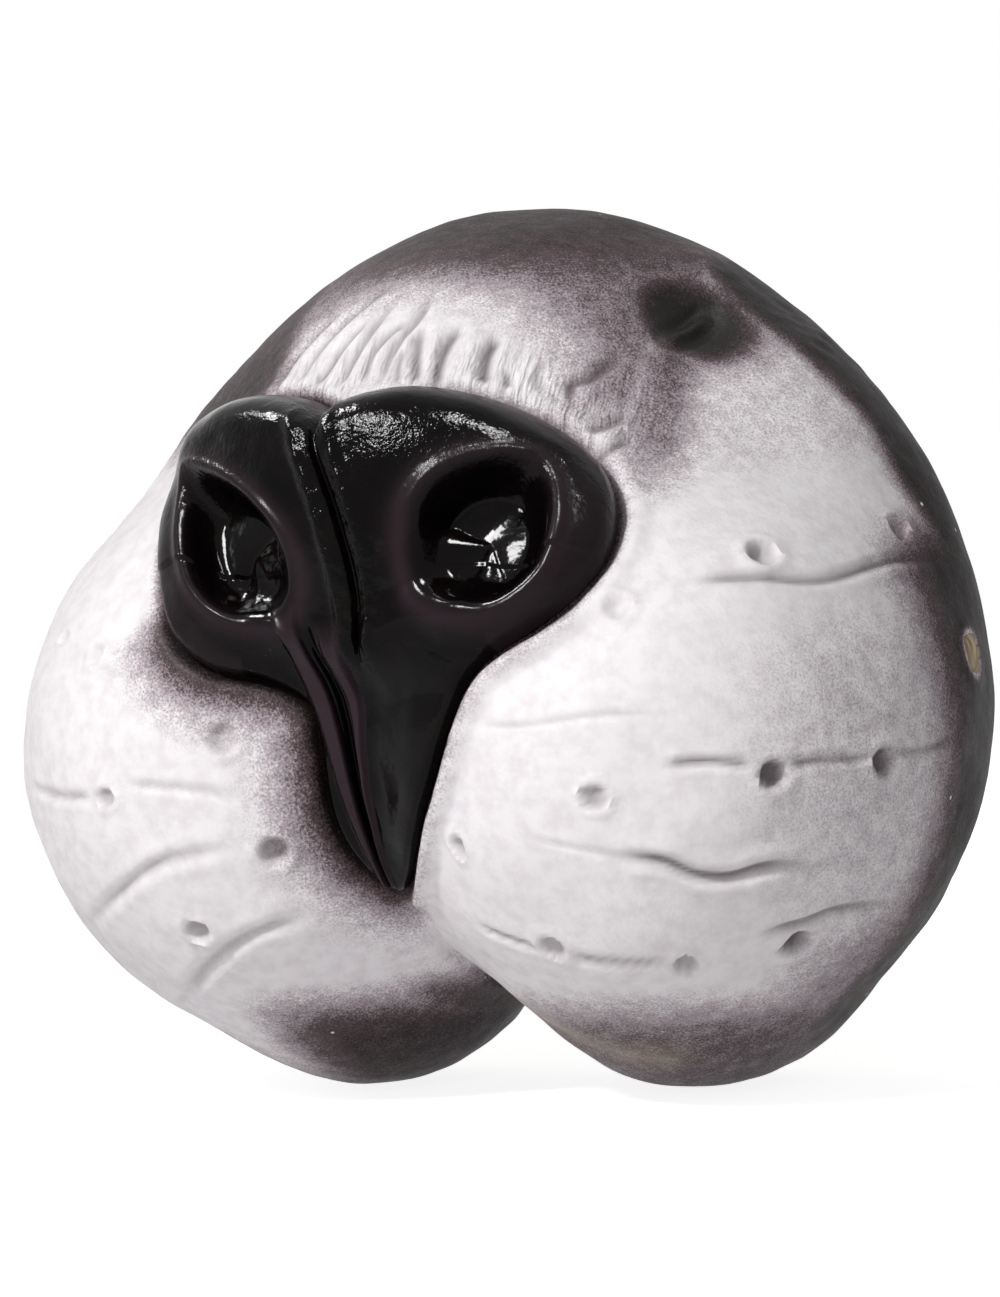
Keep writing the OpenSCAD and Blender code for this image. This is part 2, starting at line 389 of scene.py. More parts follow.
def two_sheets(name, cells, under_cells):
    """Two flat sheets bridged along their edges, and the flat points of each."""
    upper = sheet_of(name, cells)
    lower = sheet_of(name, under_cells)
    flat = [read_points(sheet)[:, :2] for sheet in (upper, lower)]
    write_points(lower, read_points(lower) - (0, 0, 0.2))
    make_active(upper)
    lower.select_set(True)
    bpy.ops.object.join()
    bpy.ops.object.mode_set(mode="EDIT")
    bpy.ops.mesh.select_mode(type="EDGE")
    bpy.ops.mesh.select_all(action="DESELECT")
    bpy.ops.mesh.select_non_manifold(extend=False, use_wire=False, use_multi_face=False,
                                     use_non_contiguous=False, use_verts=False)
    bpy.ops.mesh.bridge_edge_loops()
    bpy.ops.object.mode_set(mode="OBJECT")
    return upper, flat


def wrap_wall(piece, layers):
    """Moves both sheets of a wall into place, in millimetres, and turns its faces outward."""
    points = np.vstack(layers)
    if len(points) != len(piece.data.vertices) or not np.isfinite(points).all():
        raise RuntimeError(f"{piece.name} could not be wrapped onto the cast surface")
    write_points(piece, points * MM)
    bpy.ops.object.mode_set(mode="EDIT")
    bpy.ops.mesh.select_all(action="SELECT")
    bpy.ops.mesh.normals_make_consistent(inside=False)
    bpy.ops.object.mode_set(mode="OBJECT")
    bpy.ops.object.shade_smooth()


def paint_layer(piece, name, values):
    """Stores a per-point colour that the finish reads."""
    layer = piece.data.color_attributes.new(name=name, type="FLOAT_COLOR", domain="POINT")
    colours = np.ones((len(piece.data.vertices), 4))
    colours[:, :values.shape[1]] = values
    layer.data.foreach_set("color", colours.ravel())


def punch(piece, side, muzzle):
    """Cuts the strap hole through a cheek or its patch, on the left, -1, or the right, 1."""
    before = len(piece.data.vertices), len(piece.data.polygons)
    deselect()
    bpy.ops.mesh.primitive_cylinder_add(
        vertices=48, radius=muzzle.strap_hole / 2, depth=CUTTER_LENGTH * MM,
        location=(side * muzzle.width / 2, -muzzle.hole_from_rim, -muzzle.hole_drop),
        rotation=(0, math.pi / 2, 0),
    )
    tool = bpy.context.object
    make_active(piece)
    cut = piece.modifiers.new("strap hole", "BOOLEAN")
    cut.operation = "DIFFERENCE"
    cut.solver = "MANIFOLD"
    cut.object = tool
    bpy.ops.object.modifier_apply(modifier=cut.name)
    bpy.data.objects.remove(tool, do_unlink=True)
    if before == (len(piece.data.vertices), len(piece.data.polygons)):
        raise RuntimeError(f"no strap hole was cut in {piece.name}")
    bpy.ops.object.shade_smooth_by_angle(angle=math.radians(55))


def settle(piece, material, node):
    """Gives a finished piece its finish and its place in the frame."""
    piece.data.materials.clear()
    piece.data.materials.append(material)
    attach(piece, "root")
    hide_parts(node)


# ---- finishes ----

def linear(code):
    """A linear colour from an sRGB hex code."""
    channels = [int(code[i:i + 2], 16) / 255 for i in (1, 3, 5)]
    return tuple(c / 12.92 if c <= 0.04045 else ((c + 0.055) / 1.055) ** 2.4 for c in channels)


def node(tree, kind, settings=None, **links):
    """Adds a node, sets its properties and sockets, and links what is given as a socket."""
    new = tree.nodes.new(kind)
    for key, value in (settings or {}).items():
        if hasattr(new, key):
            setattr(new, key, value)
        else:
            new.inputs[key].default_value = value
    for key, source in links.items():
        tree.links.new(source, new.inputs[key])
    return new


def math_node(tree, operation, first, second):
    new = node(tree, "ShaderNodeMath", {"operation": operation})
    for socket, value in zip(new.inputs, (first, second)):
        if isinstance(value, (int, float)):
            socket.default_value = value
        else:
            tree.links.new(value, socket)
    return new.outputs[0]


def ramp(tree, value, low, high):
    """0 below low, 1 above high and smooth between."""
    new = node(tree, "ShaderNodeMapRange", {"interpolation_type": "SMOOTHSTEP"})
    new.inputs["From Min"].default_value = low
    new.inputs["From Max"].default_value = high
    tree.links.new(value, new.inputs["Value"])
    return new.outputs["Result"]


def blend_colours(tree, factor, first, second):
    new = node(tree, "ShaderNodeMix", {"data_type": "RGBA", "clamp_factor": True})
    for socket, value in zip((new.inputs[0], new.inputs[6], new.inputs[7]), (factor, first, second)):
        if isinstance(value, (int, float)):
            socket.default_value = value
        elif hasattr(value, "__len__"):
            socket.default_value = (*value, 1)
        else:
            tree.links.new(value, socket)
    return new.outputs[2]


def seen_directly(tree):
    """1 where the camera, a mirror or glass looks straight at a surface, 0 where it only lights."""
    path = node(tree, "ShaderNodeLightPath")
    seen = math_node(tree, "MAXIMUM", path.outputs["Is Camera Ray"], path.outputs["Is Glossy Ray"])
    return math_node(tree, "MAXIMUM", seen, path.outputs["Is Transmission Ray"])


def new_finish(name):
    material = bpy.data.materials.new(name)
    material.use_nodes = True
    tree = material.node_tree
    tree.nodes.clear()
    output = node(tree, "ShaderNodeOutputMaterial")
    shader = node(tree, "ShaderNodeBsdfPrincipled")
    tree.links.new(shader.outputs[0], output.inputs["Surface"])
    place = node(tree, "ShaderNodeTexCoord").outputs["Object"]
    return material, tree, shader, place


def grain(tree, place, size_mm, detail=2.0, roughness=0.5, stretch=None):
    """Noise whose lumps are about this many millimetres across."""
    if stretch:
        place = node(tree, "ShaderNodeMapping", {"Scale": stretch}, Vector=place).outputs[0]
    settings = {"Scale": 1 / (size_mm * MM), "Detail": detail, "Roughness": roughness}
    return node(tree, "ShaderNodeTexNoise", settings, Vector=place).outputs["Fac"]


def bumped(tree, shader, heights):
    """Chains height fields, each with a depth in millimetres, into the shader's normal."""
    last = None
    for height, depth in heights:
        new = node(tree, "ShaderNodeBump", {"Strength": 1.0, "Distance": depth * MM}, Height=height)
        if last:
            tree.links.new(last, new.inputs["Normal"])
        last = new.outputs[0]
    tree.links.new(last, shader.inputs["Normal"])


def airbrushed_latex(look):
    """Slip latex cast in a plaster mould, painted white and misted dark with an airbrush.

    It reads as a matt skin whose airbrush mist and painted shade break up into brown droplets, and as
    amber where it is bare.
    """
    material, tree, shader, place = new_finish("airbrushed slip latex")
    paint = node(tree, "ShaderNodeVertexColor", {"layer_name": "paint"})
    folded = paint.outputs["Alpha"]
    parts = node(tree, "ShaderNodeSeparateColor", Color=paint.outputs["Color"])
    mist_and_shade, raw, recess_shade = parts.outputs[0], parts.outputs[1], parts.outputs[2]

    # The mist and the painted shade break up into droplets about a third of a millimetre wide
    fine = grain(tree, place, look.grit / MM, detail=3.0, roughness=0.75)
    coarse = grain(tree, place, 2.6, detail=3.0, roughness=0.6)
    spray = math_node(tree, "SUBTRACT", fine, 0.5)
    drift = math_node(tree, "MULTIPLY", math_node(tree, "SUBTRACT", coarse, 0.5), 0.3)
    darkened_zone = ramp(tree, mist_and_shade, 0.03, 0.25)
    uneven = math_node(tree, "MULTIPLY", math_node(tree, "ADD", spray, drift), darkened_zone)
    density = math_node(tree, "ADD", mist_and_shade, uneven)

    white = blend_colours(tree, ramp(tree, coarse, 0.35, 0.7), look.latex_white, look.latex_shade)
    greyed = blend_colours(tree, ramp(tree, density, 0.06, 0.45), white, look.mist_and_shade_grey)
    browned = blend_colours(tree, ramp(tree, density, 0.38, 0.7), greyed, look.mist_and_shade_brown)
    blackened = blend_colours(tree, ramp(tree, density, 0.66, 0.98), browned, look.mist_and_shade_black)
    # Painted shade in the whisker pits, creases and wrinkles
    recess_shaded = blend_colours(tree, math_node(tree, "MULTIPLY", recess_shade, 0.95), blackened, look.recess_shade_colour)
    # Sparse chips where the white undercoat shows through the darkest mist and painted shade
    chips = node(tree, "ShaderNodeTexVoronoi", {"Scale": 1 / (7.0 * MM), "Randomness": 1.0},
                 Vector=place)
    chipped = math_node(tree, "MULTIPLY", ramp(tree, chips.outputs["Distance"], 0.06, 0.035),
                        ramp(tree, mist_and_shade, 0.45, 0.6))
    chip = blend_colours(tree, chipped, recess_shaded, look.latex_white)
    # Natural latex shows amber on the cut edge and inside
    amber = blend_colours(tree, grain(tree, place, 9.0), look.raw_latex, look.raw_latex_deep)
    colour = blend_colours(tree, raw, chip, amber)
    tree.links.new(colour, shader.inputs["Base Color"])

    shader.inputs["IOR"].default_value = 1.5
    shader.inputs["Specular IOR Level"].default_value = 0.07
    rough = node(tree, "ShaderNodeMapRange", {"To Min": 0.42, "To Max": 0.62}, Value=coarse)
    tree.links.new(rough.outputs[0], shader.inputs["Roughness"])
    brushed = grain(tree, place, 0.5, detail=2.0, stretch=(1.0, 1.0, 0.18))
    # Skin drawn into fine upright folds, about a millimetre apart, where it meets the nose
    drawn = grain(tree, place, 1.1, detail=2.0, roughness=0.6, stretch=(1.0, 0.25, 0.12))
    drawn = math_node(tree, "MULTIPLY", drawn, folded)
    bumped(tree, shader, ((grain(tree, place, 1.6, detail=3.0), 0.10), (brushed, 0.04), (fine, 0.03),
                          (drawn, 1.2)))
    return material


def varnished_nose(look):
    """Black latex under a thick brushed varnish, which sets in small wrinkles.

    It reads as wet: black, with sharp glints on the crests, and dull on the folds, the top shelf and the
    rim, where a painted sheen lightens it to a purple grey.
    """
    material, tree, shader, place = new_finish("varnished black latex")
    glaze = node(tree, "ShaderNodeVertexColor", {"layer_name": "glaze"}).outputs["Color"]
    parts = node(tree, "ShaderNodeSeparateColor", Color=glaze)
    pebble, dull_and_sheen = parts.outputs[0], parts.outputs[1]
    blotch = grain(tree, place, 5.0, detail=3.0)
    black = blend_colours(tree, ramp(tree, blotch, 0.4, 0.75), look.nose_black, look.nose_brown)
    # Painted sheen: the colour lifts towards a purple grey on the folds, nostril rims, top shelf and
    # outer rim
    tree.links.new(blend_colours(tree, dull_and_sheen, black, look.nose_sheen), shader.inputs["Base Color"])
    shader.inputs["IOR"].default_value = 1.5
    shader.inputs["Specular IOR Level"].default_value = 0.07
    rough = node(tree, "ShaderNodeMapRange", {"To Min": 0.1, "To Max": 0.42}, Value=dull_and_sheen)
    tree.links.new(rough.outputs[0], shader.inputs["Roughness"])
    droplets = grain(tree, place, 0.55, detail=2.0, roughness=0.6)
    raised = math_node(tree, "MULTIPLY", droplets, pebble)
    creased = math_node(tree, "MULTIPLY", grain(tree, place, 1.3, detail=3.0, roughness=0.6), pebble)
    bumped(tree, shader, ((grain(tree, place, 2.5, detail=2.0), 0.10), (creased, 0.14), (raised, 0.09)))
    return material


def foam(look):
    """Soft foam poured behind the hollow nose: matt, honey coloured and pitted with open cells."""
    material, tree, shader, place = new_finish("open cell foam")
    cells = node(tree, "ShaderNodeTexVoronoi", {"Scale": 1 / (0.8 * MM)}, Vector=place)
    distance = cells.outputs["Distance"]
    # Painted shade in the depths of the foam's cells
    honey = blend_colours(tree, ramp(tree, distance, 0.1, 0.6), look.foam_cell_shade, look.foam)
    tree.links.new(honey, shader.inputs["Base Color"])
    shader.inputs["Roughness"].default_value = 0.9
    bumped(tree, shader, ((distance, 0.5),))
    return material


def latexed_cloth(look):
    """Cotton gauze laid into wet latex: a coarse weave half filled with amber."""
    material, tree, shader, place = new_finish("cotton gauze in latex")
    # Threads run along Y and Z, about 0.9 mm apart, drawn a little coarse so they show
    settings = {"wave_type": "BANDS", "bands_direction": "Y", "Scale": 1 / (0.9 * MM) / 6.3,
                "Distortion": 1.2, "Detail Scale": 2.0}
    across = node(tree, "ShaderNodeTexWave", settings, Vector=place).outputs["Fac"]
    settings = dict(settings, bands_direction="Z")
    along = node(tree, "ShaderNodeTexWave", settings, Vector=place).outputs["Fac"]
    weave = math_node(tree, "MAXIMUM", across, along)
    soaked = ramp(tree, grain(tree, place, 3.5, detail=3.0), 0.4, 0.65)
    cloth = blend_colours(tree, weave, look.cloth_shade, look.cloth)
    tree.links.new(blend_colours(tree, soaked, cloth, look.raw_latex), shader.inputs["Base Color"])
    shader.inputs["Roughness"].default_value = 0.7
    bumped(tree, shader, ((weave, 0.2),))
    return material


# ---- settings ----

def length_setting(name, description, default, low, high):
    return FloatProperty(name=name, description=description, default=default * MM, min=low * MM,
                         max=high * MM, unit="LENGTH", subtype="DISTANCE")


def colour_setting(name, description, code):
    return FloatVectorProperty(name=name, description=description, default=linear(code), min=0, max=1,
                               size=3, subtype="COLOR")


class MuzzleSettings(bpy.types.PropertyGroup):
    width: length_setting("Width", "Width over the cheeks", 140, 110, 180)
    depth: length_setting("Depth", "From the rim to the front of the muzzle", 78, 55, 100)
    height: length_setting("Height", "Height over the dome and the lips", 126, 95, 160)
    wall: length_setting("Wall", "Thickness of the latex", 2.0, 1, 4)
    blend: length_setting("Blend", "How softly the cast forms run together", 4.0, 2, 6)
    pits: FloatProperty(name="Pits", description="Strength of the whisker pits", default=1.0,
                        min=0, max=2, subtype="FACTOR")
    creases: FloatProperty(name="Creases", description="Strength of the creases and wrinkles",
                           default=1.0, min=0, max=2, subtype="FACTOR")
    strap_hole: length_setting("Strap hole", "Diameter of the punched strap holes", 5.5, 3, 9)
    hole_from_rim: length_setting("Hole from rim", "Distance of the strap holes from the rim", 20, 12, 35)
    hole_drop: length_setting("Hole drop", "Distance of the strap holes below the middle", 7, 0, 25)
    skin_cells: IntProperty(name="Skin cells", description="Cells across the outer skin", default=284,
                            min=40, max=300)
    lining_cells: IntProperty(name="Lining cells", description="Cells across the lining", default=71,
                              min=20, max=150)


class NoseSettings(bpy.types.PropertyGroup):
    middle: length_setting("Middle", "Height of the nose's middle", 4, -10, 15)
    lift: length_setting("Lift", "How far the lobes stand proud", 8, 5, 14)
    philtrum_lift: length_setting("Philtrum lift", "How far the philtrum stands proud", 3.2, 2, 6)
    edge: length_setting("Edge", "Thickness of the free edge", 1.4, 1, 3)
    leather: length_setting("Leather", "Thickness of the hollow nose's wall", 1.6, 1, 3)
    core_gap: length_setting("Core gap", "Room between the nose and its foam core", 0.3, 0.1, 1.5)
    nostril_spacing: length_setting("Nostril spacing", "Distance between the nostrils", 36, 20, 50)
    nostril_rise: length_setting("Nostril rise", "Height of the nostrils above the middle", 6.5, 0, 12)
    nostril_width: length_setting("Nostril width", "Width of a nostril well", 21, 8, 24)
    nostril_height: length_setting("Nostril height", "Height of a nostril well", 19.6, 8, 24)
    nostril_depth: length_setting("Nostril depth", "Depth of a nostril well", 6.2, 1, 7)
    cells: IntProperty(name="Cells", description="Cells across the nose", default=220, min=40, max=280)


class PatchSettings(bpy.types.PropertyGroup):
    diameter: length_setting("Diameter", "Diameter of a strap patch", 22, 14, 30)
    thickness: length_setting("Thickness", "Thickness of a strap patch", 0.8, 0.5, 2)
    gap: length_setting("Gap", "Glue line under a patch", 0.35, 0.2, 0.6)


class FinishSettings(bpy.types.PropertyGroup):
    latex_white: colour_setting("Latex white", "Undercoat on the pads", "#f3eff1")
    latex_shade: colour_setting("Latex shade", "Thinner places in the undercoat", "#e9e3e6")
    # The mist colours serve both the airbrush mist and painted shade in recesses, under the lips and down
    # the right side
    mist_and_shade_grey: colour_setting("Mist and shade grey", "Light airbrush mist", "#a89ca2")
    mist_and_shade_brown: colour_setting("Mist and shade brown", "Airbrush droplets and painted shade", "#4f4144")
    mist_and_shade_black: colour_setting("Mist and shade black", "Darkest airbrushing and painted shade", "#15110f")
    # Painted shade in the whisker pits, creases and wrinkles
    recess_shade_colour: colour_setting("Pit stain", "Painted shade in pits and creases", "#5a4e50")
    raw_latex: colour_setting("Raw latex", "Unpainted latex", "#ecdfc6")
    raw_latex_deep: colour_setting("Raw latex, thick", "Thicker unpainted latex", "#dcc8a2")
    nose_black: colour_setting("Nose black", "Colour of the nose", "#060405")
    nose_brown: colour_setting("Nose brown", "Warmer places on the nose", "#0c0706")
    # Painted sheen on the nose's folds, top shelf and rim
    nose_sheen: colour_setting("Nose sheen", "Painted sheen on the dull folds, shelf and rim", "#33272d")
    foam: colour_setting("Foam", "Foam of the nose core", "#d8c48c")
    # Painted shade in the depths of the foam's cells
    foam_cell_shade: colour_setting("Foam cells", "Painted shade in the depths of the foam's cells", "#8d7a4a")
    cloth: colour_setting("Cloth", "Threads of the strap patches", "#d7cbb4")
    cloth_shade: colour_setting("Cloth shade", "Between the threads", "#9c8a6c")
    grit: length_setting("Grit", "Size of an airbrush droplet", 0.34, 0.1, 2)


class StageSettings(bpy.types.PropertyGroup):
    azimuth: FloatProperty(name="Azimuth", description="Camera angle round the mask",
                           default=math.radians(27.3), subtype="ANGLE")
    elevation: FloatProperty(name="Elevation", description="Camera angle above the mask",
                             default=math.radians(2.4), subtype="ANGLE")
    roll: FloatProperty(name="Roll", description="Tilt of the picture", default=math.radians(2.9),
                        subtype="ANGLE")
    distance: length_setting("Distance", "From the camera to the mask", 750, 300, 3000)
    lens: FloatProperty(name="Lens", description="Focal length in millimetres", default=191.7, min=20,
                        max=400)
    key: FloatProperty(name="Key light", description="Power of the main light", default=5.8, min=0,
                       unit="POWER")
    fill: FloatProperty(name="Fill light", description="Power of the fill light", default=2.0, min=0,
                        unit="POWER")
    glints: FloatProperty(name="Glints", description="Power of the lights that only varnish mirrors",
                          default=18.0, min=0, unit="POWER")
    sky: FloatProperty(name="Sky", description="Strength of the even light from all round",
                       default=0.22, min=0, max=2)


# ---- pieces ----

def muzzle_cast(settings):
    size = np.array([settings.width, settings.depth, settings.height]) / MM
    return Cast(size, settings.blend / MM)


def press_pits(points, cast, strength):
    relief = np.zeros(len(points))
    recess_shade = np.zeros(len(points))
    for place, radius, depth, dark in WHISKER_PITS:
        distance = away_from(points, cast.on_skin([place])[0])
        if (distance < 4 * radius).any():
            relief -= depth * strength * eased((1.05 * radius - distance) / (0.55 * radius))
            relief += 0.42 * strength * bump(distance - 1.25 * radius, 0.32 * radius)
            # Painted shade in the pit
            recess_shade = np.maximum(recess_shade, dark * eased((1.1 * radius - distance) / (0.5 * radius)))
    return relief, recess_shade


def press_lines(points, cast, lines, strength):
    relief = np.zeros(len(points))
    recess_shade = np.zeros(len(points))
    for places, width, depth, dark in lines:
        line = smooth_line(cast.on_skin(places), steps=6)
        distance, along = line_distance(points, line)
        taper = eased(along / 0.18) * eased((1 - along) / 0.25) * 0.9 + 0.1
        groove = bump(distance, width)
        lip = 0.35 * bump(distance - 2.2 * width, 1.3 * width)
        relief += strength * taper * depth * (lip - groove)
        # Painted shade along the crease
        recess_shade = np.maximum(recess_shade, dark * taper * bump(distance, 0.8 * width))
    return relief, recess_shade


def hollow_depth(points, cast):
    """The dent beside the bridge, which skin and lining share."""
    return 3.4 * bump(away_from(points, cast.on_skin([HOLLOW])[0]), 8.0)


def muzzle_relief(points, cast, settings, nose):
    """Height of the modelled detail over the cast surface, the painted shade in its pits and creases, and
    the nose's distance.
    """
    x, y, z = points.T
    relief, recess_shade = press_pits(points, cast, settings.pits)
    # Creases and wrinkles, with painted shade along them
    for lines, share, shade_gain in ((CREASES, 0.8, 1.1), (WRINKLES, 0.65, 1.3)):
        pressed, dark = press_lines(points, cast, lines, settings.creases * share)
        relief += pressed
        recess_shade = np.maximum(recess_shade, dark * shade_gain)
    # A low lip is pushed up round each strap hole
    hole = np.hypot(y + settings.hole_from_rim / MM, z + settings.hole_drop / MM)
    relief += 0.3 * bump(hole - 4.0, 1.2) * (np.abs(x) > 50)

    # The skin swells round the nose and turns down into a tight seam against it
    front = y < -34
    from_nose = np.full(len(points), 40.0)
    from_nose[front] = outline_distance(x[front], z[front], nose.middle / MM)
    swell = 0.7 + 1.4 * eased((4 - z) / 6) * eased((x + 2) / 6)
    relief += swell * bump(np.maximum(from_nose, 0) - 2.0, 1.4) * (from_nose > 0)
    relief -= 0.9 * bump(from_nose, 0.55)
    relief -= 0.9 * eased(-from_nose / 1.0)

    # The dark hollow beside the bridge with its raised slash
    relief -= hollow_depth(points, cast)
    distance, along = line_distance(points, smooth_line(cast.on_skin(SLASH), steps=6))
    relief += 0.9 * bump(distance, 0.7) * eased(along * 4) * eased((1 - along) * 4)
    relief -= 0.5 * bump(distance - 2.0, 0.9)

    # The pads press together in a fold under the philtrum, with small lumps at its top
    distance, along = line_distance(points, smooth_line(cast.on_skin(CLEFT_FOLD), steps=6))
    relief -= 1.6 * bump(distance, 1.1) * eased(along * 6)
    lump_zone = bump(away_from(points, cast.on_skin([FOLD_TOP])[0]), 5.0)
    relief += 0.35 * lump_zone * lumps(points, 1.6, seed=4)

    # Hand-modelled unevenness everywhere, stronger on the bridge's flank
    flank = bump(away_from(points, (43, -14, 40)), 14.0)
    relief += 0.25 * lumps(points, 11.0, seed=1) + 0.06 * lumps(points, 3.0, seed=2)
    relief += 0.16 * flank * lumps(points, 2.2, seed=3)
    return relief, np.minimum(recess_shade, 1), from_nose


def muzzle_mist_and_shade(points, from_nose):
    """Where the airbrush went and where shade is painted into the colour: 0 on bare white, 1 on black."""
    x, y, z = points.T
    mist_and_shade = np.zeros(len(points))

    def add(amount):
        np.maximum(mist_and_shade, amount, out=mist_and_shade)

    # Around the nose: wide on the left and beside the philtrum, thin on the right pad
    front = y < -34
    left = eased((5 - x) / 9)
    low = eased((6 - z) / 8)
    reach = 1.2 + 3.6 * left * low + 1.0 * low
    seam = np.exp(-(np.maximum(from_nose, 0) / reach) ** 1.2)
    add((0.62 + 0.4 * left) * seam * front)
    beside = eased((x + 26) / 10)
    add((0.22 + 0.34 * beside) * np.exp(-np.maximum(from_nose, 0) / 8.0) * left * low * front)
    # Airbrush mist and painted shade between the nose and the right pad, up to the hollow beside the
    # bridge, and painted shade under the philtrum's tip
    valley = off_line(points, VALLEY, near=24.0)
    add(0.62 * bump(valley, 6.5))
    add(0.5 * bump(away_from(points, BELOW_TIP), 5.0))
    # Over the dome: bright just above the nose, dark to its crown and down its left flank
    glow = off_line(points, BRIGHT_BRIDGE, near=40.0)
    dome = eased((37 - x) / 7) * eased((z - 22) / 10) * eased((y + 66) / 6)
    add(dome * (0.1 + 0.46 * eased((glow - 3) / 18) + 0.3 * eased((z - 46) / 10)))
    wander = 4 * lumps(points, 24.0, seed=12)
    flank = eased((-13 - x) / 13) * eased((z + wander - 16) / 18) * eased((y + 60) / 9)
    add(0.85 * flank)
    # The hollow, nearly black in the middle from airbrush mist and painted shade, and the greyed flank
    # behind it
    hollow = away_from(points, HOLLOW)
    add(1.0 * bump(np.maximum(hollow - 5, 0), 6.0))
    notch = off_line(points, HOLLOW_TAIL, near=20.0)
    add(0.9 * bump(notch, 4.5))
    add(0.62 * bump(hollow, 15.0))
    add(0.4 * bump(away_from(points, (43, -16, 38)), 15.0))
    add(0.22 * eased((z - 12) / 14) * eased((x - 34) / 6))
    # The black band along the side above the strap hole, and the misted cheeks, whose darkening towards
    # the rim, most on the right, is partly painted shade
    side = np.abs(x)
    band = off_line(points, BLACK_BAND, near=40.0)
    add(1.1 * eased((19 - band) / 13) * eased((y + 31) / 12))
    lower = np.where(x > 0, eased((18 - z) / 14), eased((-6 - z) / 16))
    hem = 0.72 * eased((y + 42) / 22) + 0.3 * eased((y + 60) / 40)
    add(np.where(x > 0, hem, 0.45 * hem + 0.1) * lower * eased((side - 30) / 20))
    # Painted shade low on the right side, away from the light
    add(0.2 * eased((x - 40) / 26) * eased((14 - z) / 20))
    # Painted shade, with some airbrush mist, on the undersides of the lips, the lower curve of the pads
    # and the walls of the cleft
    under = eased((-46 - z) / 13)
    add(0.86 * under * np.where(x < 0, eased((x + 36) / 18), 0.72))
    rounding = eased((y + 62) / 30) * eased((-30 - z) / 18)
    add(np.where(x > 0, 0.5, 0.34) * rounding)
    cleft = bump(x + 2, 9.0) * eased((-46 - z) / 8)
    add(0.85 * cleft)
    return np.clip(mist_and_shade, 0, 1)


class SNOUT_OT_muzzle(bpy.types.Operator):
    """Sculpt the muzzle: the cast skin with its pits and creases, its lining and its strap holes"""
    bl_idname = "snout.muzzle"
    bl_label = "Muzzle"

    def execute(self, context):
        settings = context.scene.snout_muzzle
        cast = muzzle_cast(settings)

        muzzle, flat = two_sheets("muzzle_skin", settings.skin_cells, settings.lining_cells)
        share, turn = disc_share(flat[0])
        base, at_rim = cast.wrap(share, turn)
        normals = cast.normals(base)
        relief, recess_shade, from_nose = muzzle_relief(base, cast, settings, context.scene.snout_nose)
        calm = eased((-base[:, 1]) / 4)
        points = base + normals * (relief * calm)[:, None]
        points[at_rim, 1] = 0
        mist_and_shade = muzzle_mist_and_shade(base, from_nose)
        hole = np.hypot(base[:, 1] + settings.hole_from_rim / MM, base[:, 2] + settings.hole_drop / MM)
        mist_and_shade *= 1 - 0.8 * bump(np.maximum(hole - 3, 0), 0.9) * (np.abs(base[:, 0]) > 50)
        raw = eased((base[:, 1] + 2.5) / 2)
        thin = off_line(base, cast.on_skin(THIN_PAINT))
        raw = np.maximum(raw * 0.6, 0.2 * bump(thin, 4.0))
        folded = off_line(base, cast.on_skin(DRAWN_SKIN), near=20.0)
        folds = bump(folded, 9.0) * (from_nose > -1) * eased((base[:, 2] - 20) / 6)
        outside = np.stack([mist_and_shade, raw, recess_shade, folds], axis=1)

        share, turn = disc_share(flat[1])
        inner, at_rim = cast.wrap(share, turn)
        inward = cast.normals(inner)
        wall = settings.wall / MM
        level = inward * [1, 0, 1]
        inset = np.where(at_rim[:, None], level / (level ** 2).sum(1, keepdims=True), inward) * wall
        dent = inward * (hollow_depth(inner, cast) * ~at_rim)[:, None]
        wrap_wall(muzzle, [points, inner - inset - dent])
        inside = np.tile([0.0, 1.0, 0.0, 0.0], (len(inner), 1))

        paint_layer(muzzle, "paint", np.vstack([outside, inside]))
        for side in (-1, 1):
            punch(muzzle, side, settings)
        settle(muzzle, airbrushed_latex(context.scene.snout_finish), "muzzle_shell")
        return {"FINISHED"}


def nostril_ring(across, up, nose):
    """Where points lie in a nostril well, as a share of its radius, 1 at the edge, and a heading."""
    u = np.abs(across) - nose.nostril_spacing / MM / 2
    v = up - nose.nostril_rise / MM
    ring = np.hypot(u / (nose.nostril_width / MM / 2), v / (nose.nostril_height / MM / 2))
    return ring, np.arctan2(v, u)


